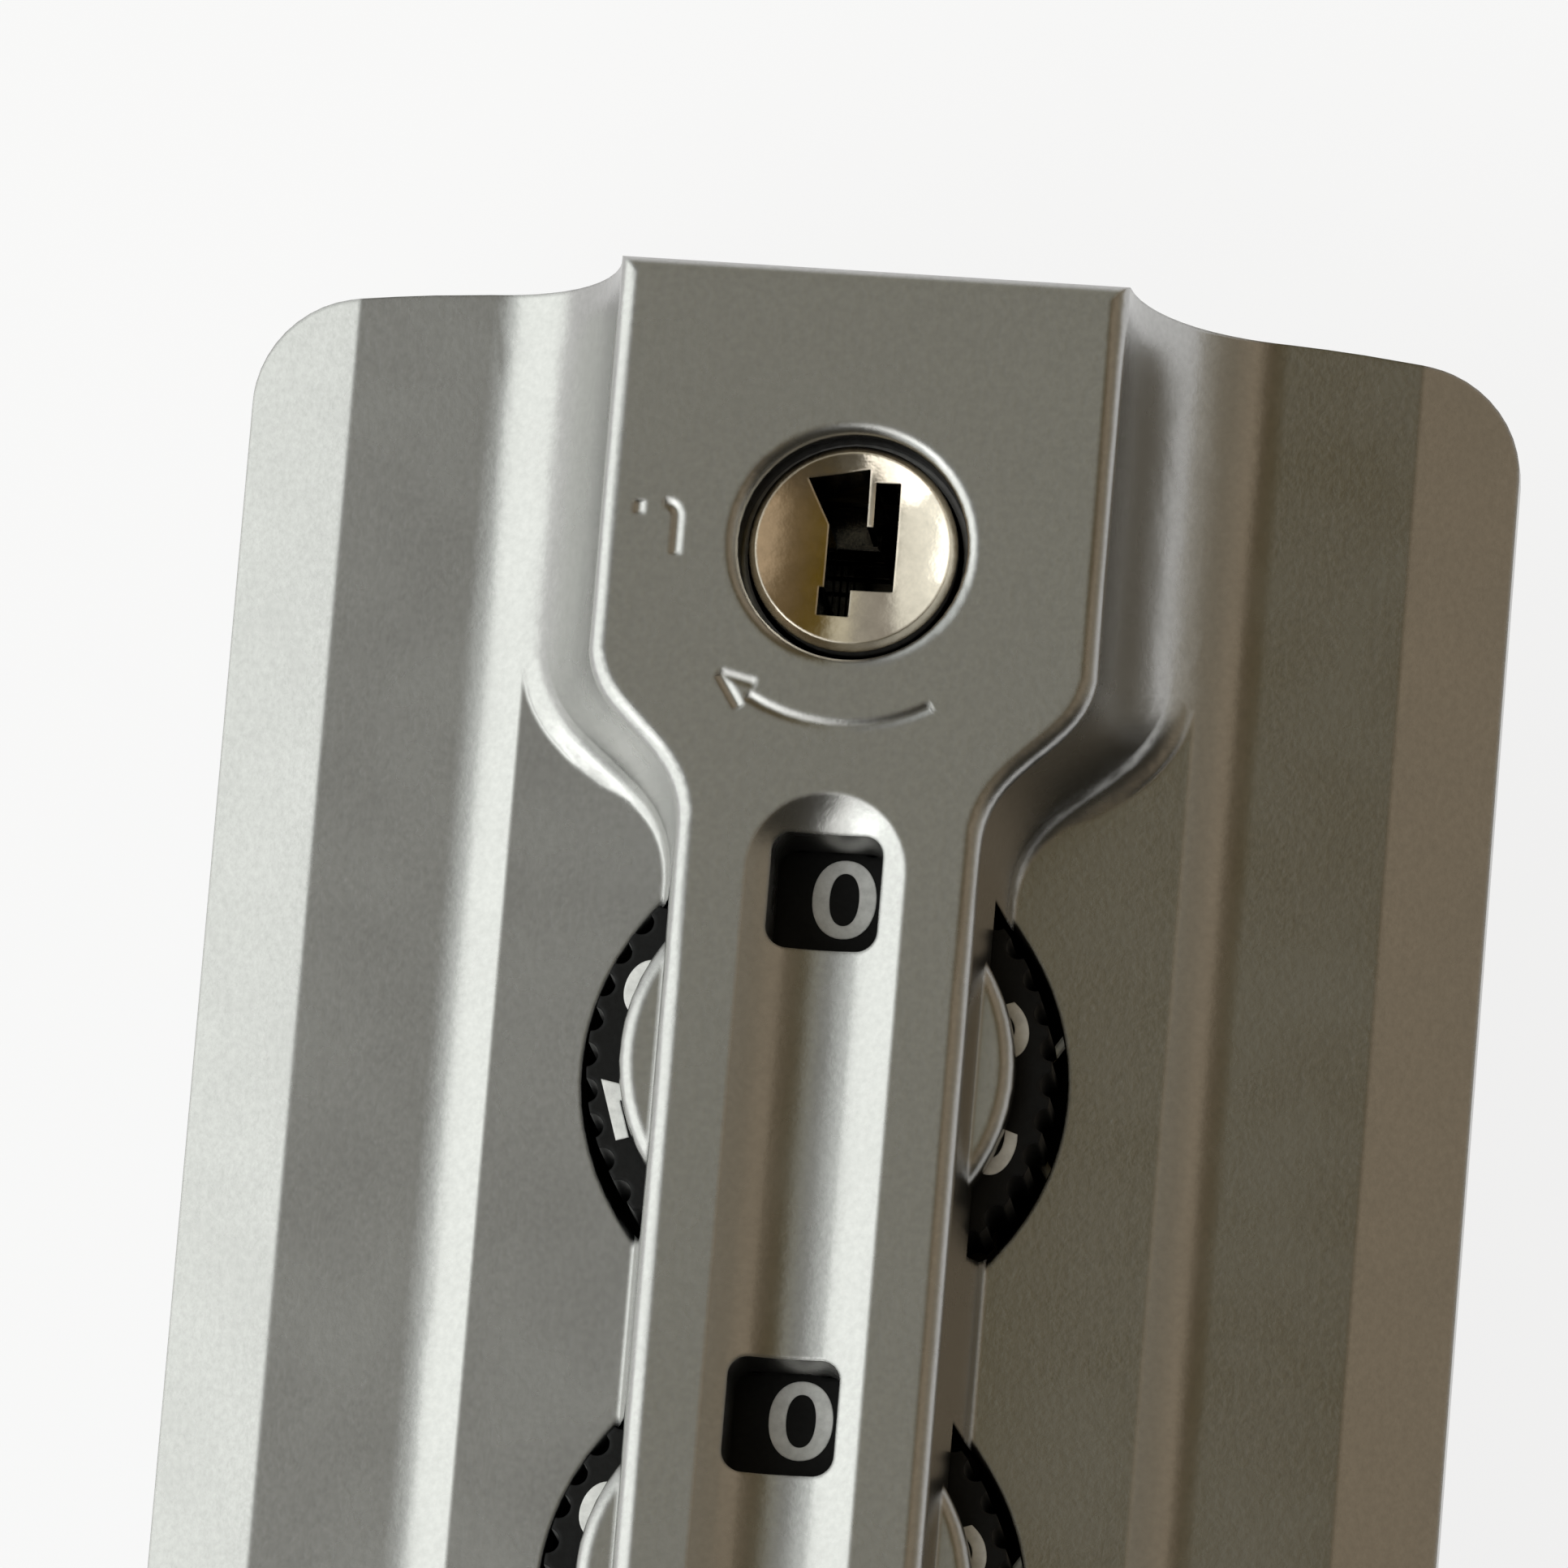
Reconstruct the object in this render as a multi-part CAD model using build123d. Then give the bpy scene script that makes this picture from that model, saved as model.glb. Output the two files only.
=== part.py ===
from build123d import *
from math import asin, cos, pi, radians, sin, sqrt
import os

# Combination travel lock for a luggage shell, in millimetres.
# X runs across the lock, Y along it with the key cylinder at +Y, Z out of the face.
# The origin is the middle of the flat back of the rear case.

# Clearances
part_gap = 0.3
fit_gap = 0.05
press_gap = 0.02

# Front cover: outline and cross-section
cover_width = 41.0
cover_length = 96.0
end_bow = 0.84
corner_radius = 3.4
case_depth = 11.0
edge_thickness = 1.2
crease_inset = 3.3
crease_rise = 0.9
wing_half_width = 12.9
wing_rise = 0.3
floor_rise = 0.7
rib_height = 6.3
head_half_width = 8.12
top_edge_radius = 0.55
cover_wall = 1.2

# Front cover: dial recess, rib and windows
dial_count = 3
dial_pitch = 16.85
dial_row_middle = 5.85
rib_half_width = 4.82
rib_draft_run = 0.7
floor_crown = 0.35
ogee_start = 6.8
ogee_length = 6.1
ogee_foot_rise = 1.2
ogee_foot_drop = 0.7
ogee_overlap = 0.03
wall_level_count = 6
recess_foot_radius = 0.6
foot_level_count = 4
hood_radius = 6.3
hood_thickness = 1.0
hood_rounding = 0.5
window_width = 3.55
window_height = 3.7
window_radius = 0.65
window_reach = 5.12
groove_width = 5.05
groove_depth = 0.8
groove_overrun = 3.08

# Number dials and code cams
dial_radius = 7.4
dial_proud = 2.6
dial_thickness = 3.8
dial_pocket_gap = 0.35
pocket_rounding = 0.3
knurl_count = 40
knurl_depth = 0.35
knurl_hollow_share = 0.7
detent_wheel_radius = 5.5
detent_wheel_thickness = 3.0
detent_notch_radius = 0.9
detent_notch_depth = 0.35
detent_count = 10
drive_width = 4.3
cam_radius = 4.6
cam_thickness = 2.4
cam_notch_width = 2.0
cam_notch_depth = 1.2
axle_radius = 1.0
axle_cap = 1.0
washer_outer_radius = 3.4
washer_thickness = 0.25
washer_height = 0.7

# Key cylinder
cylinder_inset = 9.04
key_hole_radius = 3.65
key_hole_rounding = 0.4
plug_radius = 3.35
plug_recess = 0.4
plug_bevel = 0.25
plug_dish_radius = 10.0
cylinder_radius = 5.1
cylinder_roof = 1.7
cylinder_bottom = 3.6
running_gap = 0.1
wafer_count = 4
wafer_pitch = 2.4
wafer_thickness = 0.6
wafer_width = 4.6
keyway_width = 2.2
keyway_height = 2.1
keyway_arm_width = 0.8
keyway_leg_width = 1.0
keyway_leg_step = 0.15
keyway_shift = 0.25
keyway_reach = 2.2
keyway_ridge = 0.2
keyway_flare_x = 1.6
keyway_flare_top = 2.6
keyway_flare_depth = 4.0
clip_thickness = 0.8
clip_prong = 1.8
clip_bite = 0.6
clip_post_gap = 0.45
clip_length = 10.0
plug_cam_thickness = 1.0
plug_cam_radius = 3.2
plug_cam_reach = 6.2
plug_cam_arm_width = 2.4
cam_screw_radius = 0.8
cam_screw_head_radius = 1.5
cam_screw_head_height = 0.5
screw_slot_width = 0.32
mark_line_width = 0.4
mark_line_depth = 0.1
arrow_radius = 5.86
arrow_half_span = 30.0
arrow_tip_span = 41.0
arrow_barb_reach = 0.45
locked_mark_x = 6.05
locked_mark_top = 1.0
locked_hook_radius = 0.45
locked_stem_length = 1.2
locked_dash_step = 0.81
locked_dash_length = 0.4

# Release slide, lock bar and zip sockets
release_travel = 3.6
bar_thickness = 1.0
bar_half_width = 5.0
bar_lift = 0.7
bar_foot_margin = 1.5
finger_width = 2.4
finger_rise = 4.2
button_length = 14.0
button_width = 8.0
button_inset = 12.4
button_proud = 0.5
button_ridge_count = 5
button_ridge_pitch = 1.6
button_ridge_depth = 0.45
button_foot_width = 4.0
button_foot_length = 5.0
track_depth = 1.2
track_radius = 1.2
track_roof = 0.9
button_screw_radius = 0.8
button_screw_length = 7.0
socket_width = 4.4
socket_height = 4.4
socket_lift = 0.5
socket_wall = 0.8
socket_inner_x = 3.5
socket_inset = 5.0
zip_pin_radius = 0.8
zip_pin_x = 5.0
zip_pin_gap = 0.15
zip_pin_reach = 3.3
carrier_width = 3.6
carrier_thickness = 1.2
carrier_overhang = 1.3
head_cavity_half_width = 7.0
head_cavity_end = 1.6
spring_wire_radius = 0.22
spring_coil_radius = 1.3
release_spring_length = 12.5
release_spring_turns = 9
ear_drop = 10.85

# Rear case and fasteners
case_half_width = 11.8
end_flange = 2.6
case_radius = 2.0
case_wall = 1.2
case_floor = 1.3
case_rim_gap = 0.1
boss_radius = 2.2
boss_height = 2.9
post_radius = 2.0
case_screw_side = 3.0
case_screw_inset = 4.9
case_screw_radius = 0.8
case_screw_bite = 1.5
case_screw_head_radius = 1.6
case_screw_head_height = 0.9
cross_reach = 1.28
cross_width = 0.5
mount_side = 3.9
mount_inset = 12.0
mount_post_radius = 2.2
mount_post_length = 4.0
mount_hole_radius = 1.25
mount_hole_depth = 5.2

# Detent spring
detent_strip_thickness = 0.3
detent_strip_height = 1.6
detent_strip_inset = 3.2
detent_bump_half_length = 4.2
detent_tip_gap = 0.25
detent_post_length = 2.4
detent_post_width = 1.8

# Reset button
reset_drop = 7.76
reset_radius = 1.4
reset_flange_radius = 2.1
reset_flange_height = 0.8
reset_stem_radius = 0.8
reset_stem_length = 5.0
reset_inset = 0.25
reset_spring_turns = 6

# Heights above the back of the rear case
seat_z = case_depth
edge_z = seat_z + edge_thickness
crease_z = edge_z + crease_rise
wing_z = crease_z + wing_rise
floor_z = wing_z + floor_rise
top_z = floor_z + rib_height
floor_under_z = floor_z - cover_wall
foot_z = floor_z + floor_crown / 2
dial_face_z = floor_z + dial_proud
dial_bottom_z = dial_face_z - dial_thickness
hood_under_z = dial_face_z + part_gap
hood_top_z = hood_under_z + hood_thickness
wheel_bottom_z = dial_bottom_z - detent_wheel_thickness
boss_top_z = case_floor + boss_height
cam_bottom_z = boss_top_z + washer_height + fit_gap
cam_top_z = cam_bottom_z + cam_thickness
bar_bottom_z = case_floor + bar_lift
bar_top_z = bar_bottom_z + bar_thickness
cylinder_top_z = top_z - cylinder_roof
plug_top_z = top_z - plug_recess
plug_bottom_z = cylinder_bottom - part_gap
plug_cam_bottom_z = plug_bottom_z - plug_cam_thickness
track_z = top_z - track_depth
head_cavity_z = track_z - track_roof
socket_bottom_z = wing_z + socket_lift
socket_middle_z = socket_bottom_z + socket_height / 2
case_rim_z = floor_under_z - case_rim_gap
spring_middle_z = bar_top_z + part_gap + spring_coil_radius + spring_wire_radius
strip_z = wheel_bottom_z + (detent_wheel_thickness - detent_strip_height) / 2

# Places across and along the lock
half_length = cover_length / 2
case_half_length = half_length - end_flange
case_inner_x = case_half_width - case_wall
crease_x = cover_width / 2 - crease_inset
pocket_radius = dial_radius + dial_pocket_gap
dial_rows = [dial_row_middle + dial_pitch * (1 - k) for k in range(dial_count)]
cylinder_y = half_length - cylinder_inset
socket_pitch = socket_width + 2 * socket_wall + 2 * part_gap + carrier_thickness + release_travel
socket_rows = [socket_inset - half_length + socket_pitch, socket_inset - half_length]
carrier_step = socket_width / 2 + socket_wall + part_gap
button_y = button_inset - half_length
bar_foot_y = socket_rows[-1] + carrier_step - bar_foot_margin
ear_y = dial_rows[-1] - ear_drop
spring_x = spring_coil_radius + spring_wire_radius + part_gap - case_inner_x
spring_stop_y = ear_y + release_spring_length
case_screw_x = case_half_width - case_screw_side
case_screw_y = [case_half_length - case_screw_inset, sum(socket_rows) / 2]
mount_x = cover_width / 2 - mount_side
mount_y = half_length - mount_inset
detent_strip_x = case_half_width - detent_strip_inset
reset_x = case_inner_x - part_gap - reset_flange_radius
reset_y = cylinder_y - reset_drop
pin_reach = carrier_thickness + part_gap + socket_wall + zip_pin_reach


def block(x0, x1, y0, y1, z0, z1):
    """A box between two corners."""
    return Pos((x0 + x1) / 2, (y0 + y1) / 2, (z0 + z1) / 2) * Box(x1 - x0, y1 - y0, z1 - z0)


def rod(x, y, z0, z1, radius):
    """An upright cylinder from z0 to z1."""
    return Pos(x, y, (z0 + z1) / 2) * Cylinder(radius, z1 - z0)


def rounded_block(width, length, radius, x, y, z0, z1):
    """A block with rounded upright edges."""
    return extrude(Pos(x, y, z0) * RectangleRounded(width, length, radius), z1 - z0)


def along_length(section):
    """A cross-section in X and Z run over the whole length of the cover."""
    return extrude(Plane.XZ * section, half_length, both=True)


def cover_plan():
    """Outline of the flange: ends straight over the head and swept back over the wings, round corners."""
    x = cover_width / 2
    y = half_length - end_bow
    flat_x = (head_half_width + wing_half_width) / 2
    edges = [Line((-x, -y), (-x, y)), Line((x, -y), (x, y))]
    for way in (-1, 1):
        edges.append(Line((-flat_x, way * half_length), (flat_x, way * half_length)))
        for side in (-1, 1):
            edges.append(TangentArc((side * flat_x, way * half_length), (side * x, way * y), tangent=(side, 0)))
    outline = make_face(edges)
    corners = [v for v in outline.vertices() if abs(v.X) > wing_half_width]
    return fillet(corners, corner_radius)


def wing_section():
    right = [(cover_width / 2, seat_z), (cover_width / 2, edge_z), (crease_x, crease_z), (wing_half_width, wing_z)]
    left = [(-x, z) for x, z in reversed(right)]
    return make_face(Polyline(*right, *left, close=True))


def raised_section():
    """Head and rib blank, whose sides sweep down into the wings as quarter ellipses."""
    sweep_x = wing_half_width - head_half_width
    sweep_z = top_z - wing_z
    right = EllipticalCenterArc((wing_half_width, top_z), sweep_x, sweep_z, 180, arc_size=90)
    left = EllipticalCenterArc((-wing_half_width, top_z), sweep_x, sweep_z, 270, arc_size=90)
    foot = Polyline(right @ 1, (wing_half_width, seat_z), (-wing_half_width, seat_z), left @ 0)
    return make_face([Line(left @ 1, right @ 0), right, foot, left])


def side_x(level):
    """Half width of the swept sides of the head at a height."""
    rise = min(max((top_z - level) / (top_z - wing_z), 0), 1)
    return wing_half_width - (wing_half_width - head_half_width) * sqrt(1 - rise ** 2)


def recess_face(level):
    """Plan of the right dial recess at a height; its wall is swept like the sides of the head."""
    spread = (side_x(level) - head_half_width) / (side_x(floor_z) - head_half_width)
    foot_rise = min(max(level - foot_z, 0), recess_foot_radius)
    foot = recess_foot_radius - sqrt(recess_foot_radius ** 2 - (recess_foot_radius - foot_rise) ** 2)
    rib_x = rib_half_width + rib_draft_run * (top_z - level) / rib_height + foot
    head_x = side_x(level) + ogee_overlap
    reach = dial_pitch + ogee_start - ogee_foot_drop * spread - foot
    end = dial_pitch + ogee_start + ogee_length + ogee_foot_rise * spread - foot
    outside = cover_width
    middle = (reach + end) / 2
    upper = Bezier((rib_x, reach), (rib_x, middle), (head_x, middle), (head_x, end))
    lower = Bezier((head_x, -end), (head_x, -middle), (rib_x, -middle), (rib_x, -reach))
    rim = Polyline(upper @ 1, (outside, end), (outside, -end), lower @ 0)
    return Pos(0, dial_row_middle, level) * make_face([Line(lower @ 1, upper @ 0), upper, rim, lower])


def foot_levels():
    """Heights from the floor to the top of the rounded foot of the recess wall."""
    turns = [pi / 2 * k / (foot_level_count - 1) for k in range(foot_level_count)]
    return [floor_z] + [foot_z + recess_foot_radius * (1 - cos(turn)) for turn in turns]


def wall_levels():
    """Heights from the top of the foot to the top, evenly spaced round the sweep of the sides."""
    sweep_z = top_z - wing_z
    steps = [k / (wall_level_count - 1) for k in range(wall_level_count)]
    foot_turn = asin((top_z - foot_z - recess_foot_radius) / sweep_z)
    return [top_z - sweep_z * sin(foot_turn * (1 - step)) for step in steps]


def dial_recess():
    """Both recesses, with floors that rise a little towards the rib."""
    right = loft([recess_face(level) for level in wall_levels()])
    right += loft([recess_face(level) for level in foot_levels()])
    right += extrude(recess_face(top_z), cover_wall)
    floor_x = side_x(floor_z)
    rib_foot_x = rib_half_width + rib_draft_run
    crown_z = floor_z + floor_crown * floor_x / (floor_x - rib_foot_x)
    right -= along_length(make_face(Polyline((0, floor_z), (floor_x, floor_z), (0, crown_z), close=True)))
    return right + mirror(right, about=Plane.YZ)


def dial_pocket(row_y):
    """Round well of a dial, whose edge at the floor is rounded."""
    well = rod(0, row_y, seat_z, hood_under_z, pocket_radius)
    lip_z = floor_z + floor_crown
    low_z = lip_z - pocket_rounding
    lip_x = pocket_radius + pocket_rounding
    foot = (pocket_radius, low_z)
    halfway = (lip_x - pocket_rounding * cos(pi / 4), low_z + pocket_rounding * sin(pi / 4))
    curve = ThreePointArc(foot, halfway, (lip_x, lip_z))
    rest = Polyline((lip_x, lip_z), (0, lip_z), (0, low_z), foot)
    flare = revolve(Plane.XZ * make_face([curve, rest]), Axis.Z)
    return well + Pos(0, row_y, 0) * flare


def hood(row_y):
    """Round plate over a dial, with a rounded edge."""
    plate = rod(0, row_y, hood_under_z, hood_top_z, hood_radius)
    return fillet(plate.edges().sort_by(Axis.Z)[-1], hood_rounding)


def rib_groove():
    """Shallow round trough down the rib, with round ends."""
    radius = (groove_width ** 2 / 4 + groove_depth ** 2) / (2 * groove_depth)
    centre_z = top_z - groove_depth + radius
    reach = dial_pitch + window_reach + groove_overrun - groove_width / 2
    trough = Pos(0, dial_row_middle, centre_z) * Rot(90, 0, 0) * Cylinder(radius, 2 * reach)
    for end in (-reach, reach):
        trough += Pos(0, dial_row_middle + end, centre_z) * Sphere(radius)
    return trough


def window(row_y):
    y = row_y + window_reach
    return rounded_block(window_width, window_height, window_radius, 0, y, hood_under_z - part_gap, top_z)


def engraved(path):
    """Fine V groove along a flat path, for cutting into the top of the head."""
    along = path % 0
    section = Plane(path @ 0, x_dir=(-along.Y, along.X, 0), z_dir=along)
    tool = [(-mark_line_width, mark_line_depth), (mark_line_width, mark_line_depth), (0, -mark_line_depth)]
    return sweep(section * make_face(Polyline(*tool, close=True)), path)


def face_point(radius, turn):
    """A point on the face round the key hole; the turn is counted clockwise from straight below it."""
    return radius * -sin(radians(turn)), cylinder_y - radius * cos(radians(turn)), top_z


def turn_arrow():
    """Arc and two barbs that show which way the key turns."""
    start = face_point(arrow_radius, -arrow_half_span)
    end = face_point(arrow_radius, arrow_half_span)
    lines = [ThreePointArc(start, face_point(arrow_radius, 0), end)]
    tip = face_point(arrow_radius, arrow_tip_span)
    for side in (-arrow_barb_reach, arrow_barb_reach):
        lines.append(Line(tip, face_point(arrow_radius + side, arrow_half_span)))
    return [engraved(line) for line in lines]


def locked_mark():
    """Small hook and dash beside the key hole, at the locked position of the key."""
    x = -locked_mark_x
    y = cylinder_y + locked_mark_top
    bend_x = x + locked_hook_radius
    bend_y = y - locked_hook_radius
    hook = RadiusArc((x, y, top_z), (bend_x, bend_y, top_z), locked_hook_radius)
    stem = Line((bend_x, bend_y, top_z), (bend_x, bend_y - locked_stem_length, top_z))
    dash_x = x - locked_dash_step
    dash = Line((dash_x, y, top_z), (dash_x, y - locked_dash_length, top_z))
    return [engraved(line) for line in (hook, stem, dash)]


def zip_socket_walls(y):
    reach = socket_width / 2 + socket_wall
    return block(
        socket_inner_x - socket_wall, head_cavity_half_width + fit_gap, y - reach, y + reach,
        socket_bottom_z - socket_wall, head_cavity_z + fit_gap)


def zip_socket(y):
    mouth = block(
        socket_inner_x, wing_half_width, y - socket_width / 2, y + socket_width / 2,
        socket_bottom_z, socket_bottom_z + socket_height)
    pin_y = y + socket_width / 2 + socket_wall / 2
    hole = Cylinder(zip_pin_radius + zip_pin_gap, 2 * socket_wall)
    return mouth + Pos(zip_pin_x, pin_y, socket_middle_z) * Rot(90, 0, 0) * hole


def button_track():
    """Recess that the button slides in, with the slot for its foot."""
    travel_middle = button_y + release_travel / 2
    track = rounded_block(
        button_width + 2 * part_gap, button_length + release_travel + 2 * part_gap, track_radius,
        0, travel_middle, track_z, top_z + cover_wall)
    slot = block(
        -button_foot_width / 2 - part_gap, button_foot_width / 2 + part_gap,
        button_y - button_foot_length / 2 - part_gap,
        button_y + button_foot_length / 2 + release_travel + part_gap, head_cavity_z - part_gap, track_z)
    return track + slot


def front_cover():
    plan = Pos(0, 0, seat_z) * extrude(cover_plan(), top_z - seat_z)
    cover = (along_length(wing_section()) + along_length(raised_section())) & plan
    cover -= dial_recess()
    top_edges = cover.faces().sort_by(Axis.Z)[-1].edges()
    cover = fillet(top_edges, top_edge_radius)
    for y in dial_rows:
        cover += hood(y)
    cover -= rounded_block(
        2 * (case_half_width + part_gap), 2 * (case_half_length + part_gap), case_radius,
        0, 0, seat_z, floor_under_z)
    cavity_top_y = socket_rows[0] + carrier_step + carrier_thickness + release_travel + part_gap
    cover -= block(
        -head_cavity_half_width, head_cavity_half_width, head_cavity_end - half_length, cavity_top_y,
        seat_z, head_cavity_z)
    for y in socket_rows:
        cover += zip_socket_walls(y)
        cover -= zip_socket(y)
    for y in dial_rows:
        cover -= dial_pocket(y)
    cover -= rib_groove()
    for y in dial_rows:
        cover -= window(y)
    cover -= rod(0, cylinder_y, seat_z, cylinder_top_z + fit_gap, cylinder_radius + fit_gap)
    cover -= rod(0, cylinder_y, seat_z, top_z, key_hole_radius)
    hole_edges = cover.edges().filter_by(GeomType.CIRCLE)
    rim = [e for e in hole_edges if abs(e.radius - key_hole_radius) < fit_gap and e.center().Z > top_z - fit_gap]
    cover = fillet(rim, key_hole_rounding)
    for groove in turn_arrow() + locked_mark():
        cover -= groove
    cover -= button_track()
    for x in (-mount_x, mount_x):
        for y in (-mount_y, mount_y):
            cover += rod(x, y, seat_z - mount_post_length, edge_z, mount_post_radius)
            cover -= rod(
                x, y, seat_z - mount_post_length, seat_z - mount_post_length + mount_hole_depth,
                mount_hole_radius)
    for x in (-case_screw_x, case_screw_x):
        for y in case_screw_y:
            cover -= rod(
                x, y, floor_under_z, floor_under_z + case_screw_bite + part_gap, case_screw_radius + press_gap)
    return cover


def number_dial(row_y):
    """Disc with a knurled rim, a detent wheel below it and a square drive for the code cam."""
    rim = Circle(dial_radius)
    knurl_radius = pi * dial_radius / knurl_count * knurl_hollow_share
    rim -= PolarLocations(dial_radius + knurl_radius - knurl_depth, knurl_count) * Circle(knurl_radius)
    disc = Pos(0, 0, dial_bottom_z) * extrude(rim, dial_thickness)
    wheel = Circle(detent_wheel_radius)
    notch_at = detent_wheel_radius + detent_notch_radius - detent_notch_depth
    wheel -= PolarLocations(notch_at, detent_count) * Circle(detent_notch_radius)
    disc += Pos(0, 0, wheel_bottom_z) * extrude(wheel, detent_wheel_thickness)
    disc += block(
        -drive_width / 2, drive_width / 2, -drive_width / 2, drive_width / 2,
        cam_bottom_z + fit_gap, wheel_bottom_z)
    disc -= rod(0, 0, cam_bottom_z, dial_face_z - axle_cap, axle_radius + fit_gap)
    return Pos(0, row_y, 0) * disc


def code_cam(row_y):
    cam = rod(0, 0, cam_bottom_z, cam_top_z, cam_radius)
    hole = drive_width / 2 + fit_gap
    cam -= block(-hole, hole, -hole, hole, cam_bottom_z, cam_top_z)
    cam -= block(
        -cam_notch_width / 2, cam_notch_width / 2, -cam_radius, -cam_radius + cam_notch_depth,
        cam_bottom_z, cam_top_z)
    return Pos(0, row_y, 0) * cam


def dial_axle(row_y):
    return rod(0, row_y, case_floor, dial_face_z - axle_cap - part_gap, axle_radius)


def spring_washer(row_y):
    """Dished ring that presses the code cam towards the dial."""
    inner = axle_radius + part_gap
    low = boss_top_z
    rise = washer_height - washer_thickness
    outline = [
        (inner, low + rise), (inner, low + washer_height),
        (washer_outer_radius, low + washer_thickness), (washer_outer_radius, low)]
    ring = revolve(Plane.XZ * make_face(Polyline(*outline, close=True)), Axis.Z)
    return Pos(0, row_y, 0) * ring


def detent_spring():
    """One strip on edge, bent in to a rounded tip at each dial."""
    tip_x = detent_wheel_radius + detent_tip_gap + detent_strip_thickness / 2
    points = [(detent_strip_x, dial_rows[0] + detent_bump_half_length + detent_post_length)]
    for y in dial_rows:
        points += [
            (detent_strip_x, y + detent_bump_half_length), (tip_x, y), (detent_strip_x, y - detent_bump_half_length)]
    points.append((detent_strip_x, dial_rows[-1] - detent_bump_half_length - detent_post_length))
    path = FilletPolyline(*points, radius=detent_notch_radius)
    return Pos(0, 0, strip_z) * extrude(trace(path, detent_strip_thickness), detent_strip_height)


def keyway():
    """Stepped slot: a block with an arm up on one side and a leg down on the other."""
    x0 = keyway_shift - keyway_width / 2
    x1 = keyway_shift + keyway_width / 2
    y1 = keyway_height / 2 - keyway_shift
    y0 = y1 - keyway_height
    z0 = plug_bottom_z + plug_cam_thickness
    slot = block(x0, x1, y0, y1, z0, top_z)
    slot += block(x1 - keyway_arm_width, x1, y1 - fit_gap, keyway_reach, z0, top_z)
    leg_x = x0 - keyway_leg_step
    slot += block(leg_x, leg_x + keyway_leg_width, -keyway_reach, y0 + fit_gap, z0, top_z)
    flare_x = x1 - keyway_arm_width - keyway_ridge
    flare = Polyline(
        (x0, y1), (-keyway_flare_x, keyway_reach), (flare_x, keyway_flare_top), (flare_x, y1), close=True)
    return slot + Pos(0, 0, plug_top_z - keyway_flare_depth) * extrude(make_face(flare), keyway_flare_depth)


def wafer_levels():
    start = cylinder_top_z - wafer_pitch
    return [start - wafer_pitch * k for k in range(wafer_count)]


def key_plug():
    plug = rod(0, 0, plug_bottom_z, plug_top_z, plug_radius)
    plug = chamfer(plug.edges().sort_by(Axis.Z)[-1], plug_bevel)
    dish_rise = sqrt(plug_dish_radius ** 2 - (plug_radius - plug_bevel) ** 2)
    plug -= Pos(0, 0, plug_top_z + dish_rise) * Sphere(plug_dish_radius)
    plug -= keyway()
    for z in wafer_levels():
        plug -= block(
            -wafer_width / 2 - fit_gap, wafer_width / 2 + fit_gap, -plug_radius, plug_radius,
            z - wafer_thickness / 2 - fit_gap, z + wafer_thickness / 2 + fit_gap)
    plug -= rod(0, 0, plug_bottom_z, plug_bottom_z + plug_cam_thickness, cam_screw_radius + press_gap)
    return Pos(0, cylinder_y, 0) * plug


def wafers():
    """Flat plates across the plug, each with a window that the key passes through."""
    plates = []
    for z in wafer_levels():
        z0 = z - wafer_thickness / 2
        z1 = z + wafer_thickness / 2
        half_height = plug_radius - wafer_thickness
        plate = block(-wafer_width / 2, wafer_width / 2, -half_height, half_height, z0, z1)
        plate &= rod(0, 0, z0, z1, plug_radius - fit_gap)
        opening = keyway_reach / 2 + keyway_shift
        plate -= block(-opening, opening, -keyway_reach, keyway_reach, z0, z1)
        plates.append(Pos(0, cylinder_y, 0) * plate)
    return Compound(children=plates)


def cylinder_body():
    body = rod(0, 0, cylinder_bottom, cylinder_top_z, cylinder_radius)
    body -= rod(0, 0, cylinder_bottom, cylinder_top_z, plug_radius + running_gap)
    groove_z1 = floor_under_z
    groove_z0 = groove_z1 - clip_thickness - 2 * fit_gap
    for side in (-1, 1):
        inner = side * (cylinder_radius - clip_bite)
        outer = side * (cylinder_radius + clip_bite)
        body -= block(
            min(inner, outer), max(inner, outer), -cylinder_radius, cylinder_radius, groove_z0, groove_z1)
    return Pos(0, cylinder_y, 0) * body


def cylinder_clip():
    """Flat fork that sits in the grooves of the cylinder body, under the cover."""
    z1 = floor_under_z - fit_gap
    z0 = z1 - clip_thickness
    inner = cylinder_radius - clip_bite + fit_gap
    outer = case_screw_x - post_radius - clip_post_gap
    y0 = cylinder_y - cylinder_radius - part_gap - clip_prong
    fork = block(-outer, outer, y0, y0 + clip_length, z0, z1)
    return fork - block(-inner, inner, y0 + clip_prong, y0 + clip_length, z0, z1)


def plug_cam():
    z0 = plug_cam_bottom_z
    z1 = plug_bottom_z
    cam = rod(0, 0, z0, z1, plug_cam_radius)
    cam += block(0, plug_cam_reach, -plug_cam_arm_width / 2, plug_cam_arm_width / 2, z0, z1)
    cam -= rod(0, 0, z0, z1, cam_screw_radius + press_gap)
    return Pos(0, cylinder_y, 0) * cam


def cam_screw():
    z0 = plug_cam_bottom_z
    head = rod(0, cylinder_y, z0 - cam_screw_head_height, z0, cam_screw_head_radius)
    head += rod(0, cylinder_y, z0, z0 + 2 * plug_cam_thickness, cam_screw_radius)
    slot = block(
        -cam_screw_head_radius, cam_screw_head_radius,
        cylinder_y - screw_slot_width / 2, cylinder_y + screw_slot_width / 2,
        z0 - cam_screw_head_height, z0 - cam_screw_head_height / 2)
    return head - slot


def finger_front(row_y):
    return row_y - cam_radius - part_gap - release_travel


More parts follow.
